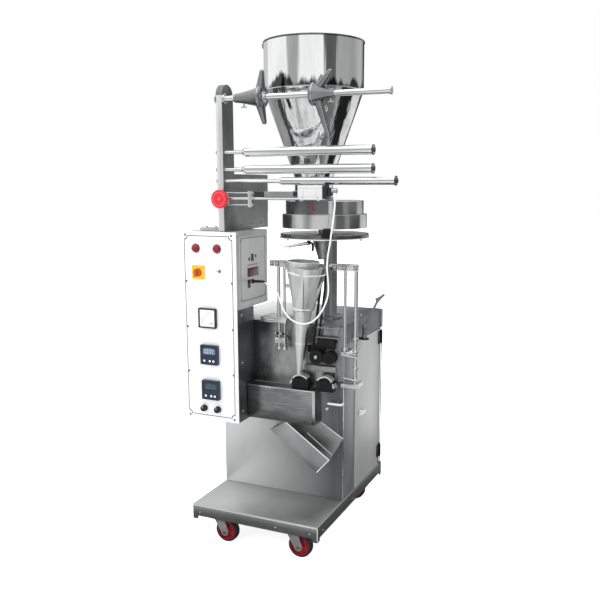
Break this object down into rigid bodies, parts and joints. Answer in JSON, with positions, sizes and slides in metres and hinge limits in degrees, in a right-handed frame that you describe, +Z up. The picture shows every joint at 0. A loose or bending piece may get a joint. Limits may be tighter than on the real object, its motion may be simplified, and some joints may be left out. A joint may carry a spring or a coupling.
{
  "type": "vertical form fill sealer",
  "caption": "Small sachet packing machine on casters: film rollers and hopper above, cup filler and forming tube, draw rollers, sealing jaws and a discharge chute below.",
  "frame": {"origin": "on the floor, under the middle of the machine's bounding box", "axes": "+Z up, -Y is the film side that the operator faces, +X is the side that the film rollers point to"},
  "size_m": [0.81, 0.676, 1.7685],
  "materials": {
    "brushed_steel": "brushed stainless sheet, vertical grain",
    "mirror_steel": "mirror-polished stainless",
    "polished_steel": "polished round bar",
    "zinc_steel": "bright machined steel",
    "column_steel": "satin plate, dark on its side",
    "table_steel": "dark satin metal",
    "drive_paint": "grey machine paint",
    "panel_white": "white powder coat with a fine outline",
    "counter_grey": "light grey membrane plate",
    "sensor_white": "off-white housing",
    "jaw_black": "blackened steel",
    "instrument_black": "black moulded case",
    "instrument_navy": "dark navy moulded case",
    "knob_black": "black moulded knob",
    "knob_red": "bright red knob",
    "switch_orange": "orange-red switch handle",
    "switch_yellow": "yellow switch plate",
    "lamp_red": "dark red lamp lens",
    "wheel_red": "red moulded wheel with a dark tread",
    "belt_rubber": "black belt",
    "cord_white": "white round cord"
  },
  "bodies": {
    "root": {"base_tray": "brushed_steel", "cabinet_shell": "brushed_steel", "door_hinge_pin": "knob_black", "control_housing": "brushed_steel", "control_panel": "panel_white", "counter_plate": "counter_grey", "pilot_lamp_left": "lamp_red", "pilot_lamp_right": "lamp_red", "main_switch_plate": "switch_yellow", "ammeter": "instrument_black", "temperature_controller_upper": "instrument_navy", "temperature_controller_lower": "instrument_navy", "column": "column_steel", "reel_shaft": "polished_steel", "sensor_rail": "zinc_steel", "hopper": "mirror_steel", "hopper_arm": "zinc_steel", "filler_guard": "brushed_steel", "filler_table": "table_steel", "discharge_funnel": "brushed_steel", "forming_tube": "brushed_steel", "film_collar": "brushed_steel", "guide_frame_left": "zinc_steel", "guide_frame_right": "zinc_steel", "roller_frame": "zinc_steel", "apron": "brushed_steel", "discharge_chute": "brushed_steel", "drive_motor": "drive_paint", "drive_belt": "belt_rubber", "gearbox": "drive_paint", "sensor_cord": "cord_white"},
    "caster_front_left_swivel": {"caster_front_left_fork": "zinc_steel"},
    "caster_front_left_wheel": {"caster_front_left_wheel": "wheel_red"},
    "caster_front_right_swivel": {"caster_front_right_fork": "zinc_steel"},
    "caster_front_right_wheel": {"caster_front_right_wheel": "wheel_red"},
    "caster_rear_left_swivel": {"caster_rear_left_fork": "zinc_steel"},
    "caster_rear_left_wheel": {"caster_rear_left_wheel": "wheel_red"},
    "caster_rear_right_swivel": {"caster_rear_right_fork": "zinc_steel"},
    "caster_rear_right_wheel": {"caster_rear_right_wheel": "wheel_red"},
    "side_door": {"side_door": "brushed_steel"},
    "door_latch": {"door_latch": "zinc_steel"},
    "clutch_lever": {"clutch_lever": "zinc_steel"},
    "main_switch_knob": {"main_switch_knob": "switch_orange"},
    "toggle_lever": {"toggle_lever": "zinc_steel"},
    "speed_knob_left": {"speed_knob_left": "knob_black"},
    "speed_knob_right": {"speed_knob_right": "knob_black"},
    "film_roller_1": {"film_roller_1": "polished_steel"},
    "film_roller_2": {"film_roller_2": "polished_steel"},
    "film_roller_3": {"film_roller_3": "polished_steel"},
    "reel_cone_left": {"reel_cone_left": "zinc_steel"},
    "reel_cone_right": {"reel_cone_right": "zinc_steel"},
    "red_knob": {"red_knob": "knob_red"},
    "mark_sensor": {"mark_sensor": "sensor_white"},
    "cup_disc": {"cup_disc": "brushed_steel"},
    "draw_roller_left": {"draw_roller_left": "jaw_black"},
    "draw_roller_right": {"draw_roller_right": "jaw_black"},
    "sealing_jaw_left": {"sealing_jaw_left": "jaw_black"},
    "sealing_jaw_right": {"sealing_jaw_right": "jaw_black"},
    "motor_pulley": {"motor_pulley": "zinc_steel"},
    "main_shaft": {"main_shaft": "zinc_steel"}
  },
  "joints": [
    {"name": "caster_front_left_swivel", "type": "hinge", "parent": "root", "child": "caster_front_left_swivel", "pos_m": [-0.212, -0.303, 0.1312], "axis": [0, 0, 1], "continuous": true},
    {"name": "caster_front_left_roll", "type": "hinge", "parent": "caster_front_left_swivel", "child": "caster_front_left_wheel", "pos_m": [-0.177, -0.303, 0.043], "axis": [0, 1, 0], "continuous": true},
    {"name": "caster_front_right_swivel", "type": "hinge", "parent": "root", "child": "caster_front_right_swivel", "pos_m": [0.08, -0.303, 0.1312], "axis": [0, 0, 1], "continuous": true},
    {"name": "caster_front_right_roll", "type": "hinge", "parent": "caster_front_right_swivel", "child": "caster_front_right_wheel", "pos_m": [0.115, -0.303, 0.043], "axis": [0, 1, 0], "continuous": true},
    {"name": "caster_rear_left_swivel", "type": "hinge", "parent": "root", "child": "caster_rear_left_swivel", "pos_m": [-0.212, 0.235, 0.1312], "axis": [0, 0, 1], "continuous": true},
    {"name": "caster_rear_left_roll", "type": "hinge", "parent": "caster_rear_left_swivel", "child": "caster_rear_left_wheel", "pos_m": [-0.177, 0.235, 0.043], "axis": [0, 1, 0], "continuous": true},
    {"name": "caster_rear_right_swivel", "type": "hinge", "parent": "root", "child": "caster_rear_right_swivel", "pos_m": [0.08, 0.235, 0.1312], "axis": [0, 0, 1], "continuous": true},
    {"name": "caster_rear_right_roll", "type": "hinge", "parent": "caster_rear_right_swivel", "child": "caster_rear_right_wheel", "pos_m": [0.115, 0.235, 0.043], "axis": [0, 1, 0], "continuous": true},
    {"name": "side_door_hinge", "type": "hinge", "parent": "root", "child": "side_door", "pos_m": [0.1985, 0.2955, 0.1375], "axis": [0, 0, 1], "range_deg": [0, 110]},
    {"name": "door_latch_turn", "type": "hinge", "parent": "side_door", "child": "door_latch", "pos_m": [0.1928, 0.07, 0.424], "axis": [1, 0, 0], "range_deg": [0, 90]},
    {"name": "clutch_lever_turn", "type": "hinge", "parent": "root", "child": "clutch_lever", "pos_m": [0.2135, 0.05, 0.7185], "axis": [0, 0, 1], "range_deg": [-30, 30]},
    {"name": "main_switch_turn", "type": "hinge", "parent": "root", "child": "main_switch_knob", "pos_m": [-0.3225, -0.2286, 0.967], "axis": [0, -1, 0], "range_deg": [0, 90]},
    {"name": "toggle_flip", "type": "hinge", "parent": "root", "child": "toggle_lever", "pos_m": [-0.2356, -0.2263, 0.974], "axis": [1, 0, 0], "range_deg": [0, 12]},
    {"name": "speed_knob_left_turn", "type": "hinge", "parent": "root", "child": "speed_knob_left", "pos_m": [-0.3112, -0.2243, 0.4636], "axis": [0, -1, 0], "range_deg": [-150, 150]},
    {"name": "speed_knob_right_turn", "type": "hinge", "parent": "root", "child": "speed_knob_right", "pos_m": [-0.2538, -0.2243, 0.4636], "axis": [0, -1, 0], "range_deg": [-150, 150]},
    {"name": "film_roller_1_spin", "type": "hinge", "parent": "root", "child": "film_roller_1", "pos_m": [0, -0.188, 1.3863], "axis": [1, 0, 0], "continuous": true},
    {"name": "film_roller_2_spin", "type": "hinge", "parent": "root", "child": "film_roller_2", "pos_m": [0, -0.188, 1.3275], "axis": [1, 0, 0], "continuous": true},
    {"name": "film_roller_3_spin", "type": "hinge", "parent": "root", "child": "film_roller_3", "pos_m": [0, -0.188, 1.2885], "axis": [1, 0, 0], "continuous": true},
    {"name": "reel_cone_left_slide", "type": "slide", "parent": "root", "child": "reel_cone_left", "axis": [1, 0, 0], "range_m": [-0.02, 0.08]},
    {"name": "reel_cone_right_slide", "type": "slide", "parent": "root", "child": "reel_cone_right", "axis": [1, 0, 0], "range_m": [-0.08, 0.17]},
    {"name": "mark_sensor_slide", "type": "slide", "parent": "root", "child": "mark_sensor", "axis": [1, 0, 0], "range_m": [-0.03, 0.03]},
    {"name": "red_knob_turn", "type": "hinge", "parent": "root", "child": "red_knob", "pos_m": [-0.2229, -0.2216, 1.2272], "axis": [0, -1, 0], "range_deg": [-216, 216]},
    {"name": "cup_disc_spin", "type": "hinge", "parent": "root", "child": "cup_disc", "pos_m": [0.0725, 0.002, 1.1245], "axis": [0, 0, 1], "continuous": true},
    {"name": "draw_roller_left_spin", "type": "hinge", "parent": "root", "child": "draw_roller_left", "pos_m": [0.104, -0.135, 0.678], "axis": [0, 1, 0], "continuous": true},
    {"name": "draw_roller_right_spin", "type": "hinge", "parent": "root", "child": "draw_roller_right", "pos_m": [0.1525, -0.135, 0.678], "axis": [0, 1, 0], "continuous": true},
    {"name": "sealing_jaw_left_close", "type": "slide", "parent": "root", "child": "sealing_jaw_left", "axis": [1, 0, 0], "range_m": [0, 0.0145]},
    {"name": "sealing_jaw_right_close", "type": "slide", "parent": "root", "child": "sealing_jaw_right", "axis": [-1, 0, 0], "range_m": [0, 0.0145]},
    {"name": "main_shaft_spin", "type": "hinge", "parent": "root", "child": "main_shaft", "pos_m": [0.03, 0.03, 0.36], "axis": [0, 1, 0], "continuous": true},
    {"name": "motor_pulley_spin", "type": "hinge", "parent": "root", "child": "motor_pulley", "pos_m": [-0.17, 0.03, 0.205], "axis": [0, 1, 0], "continuous": true}
  ],
  "couplings": [
    {"joint": "red_knob_turn", "follows": "mark_sensor_slide", "rad_per_m": 125},
    {"joint": "draw_roller_right_spin", "follows": "draw_roller_left_spin", "ratio": -1.1333},
    {"joint": "sealing_jaw_right_close", "follows": "sealing_jaw_left_close", "ratio": 1},
    {"joint": "motor_pulley_spin", "follows": "main_shaft_spin", "ratio": 2.3333}
  ]
}
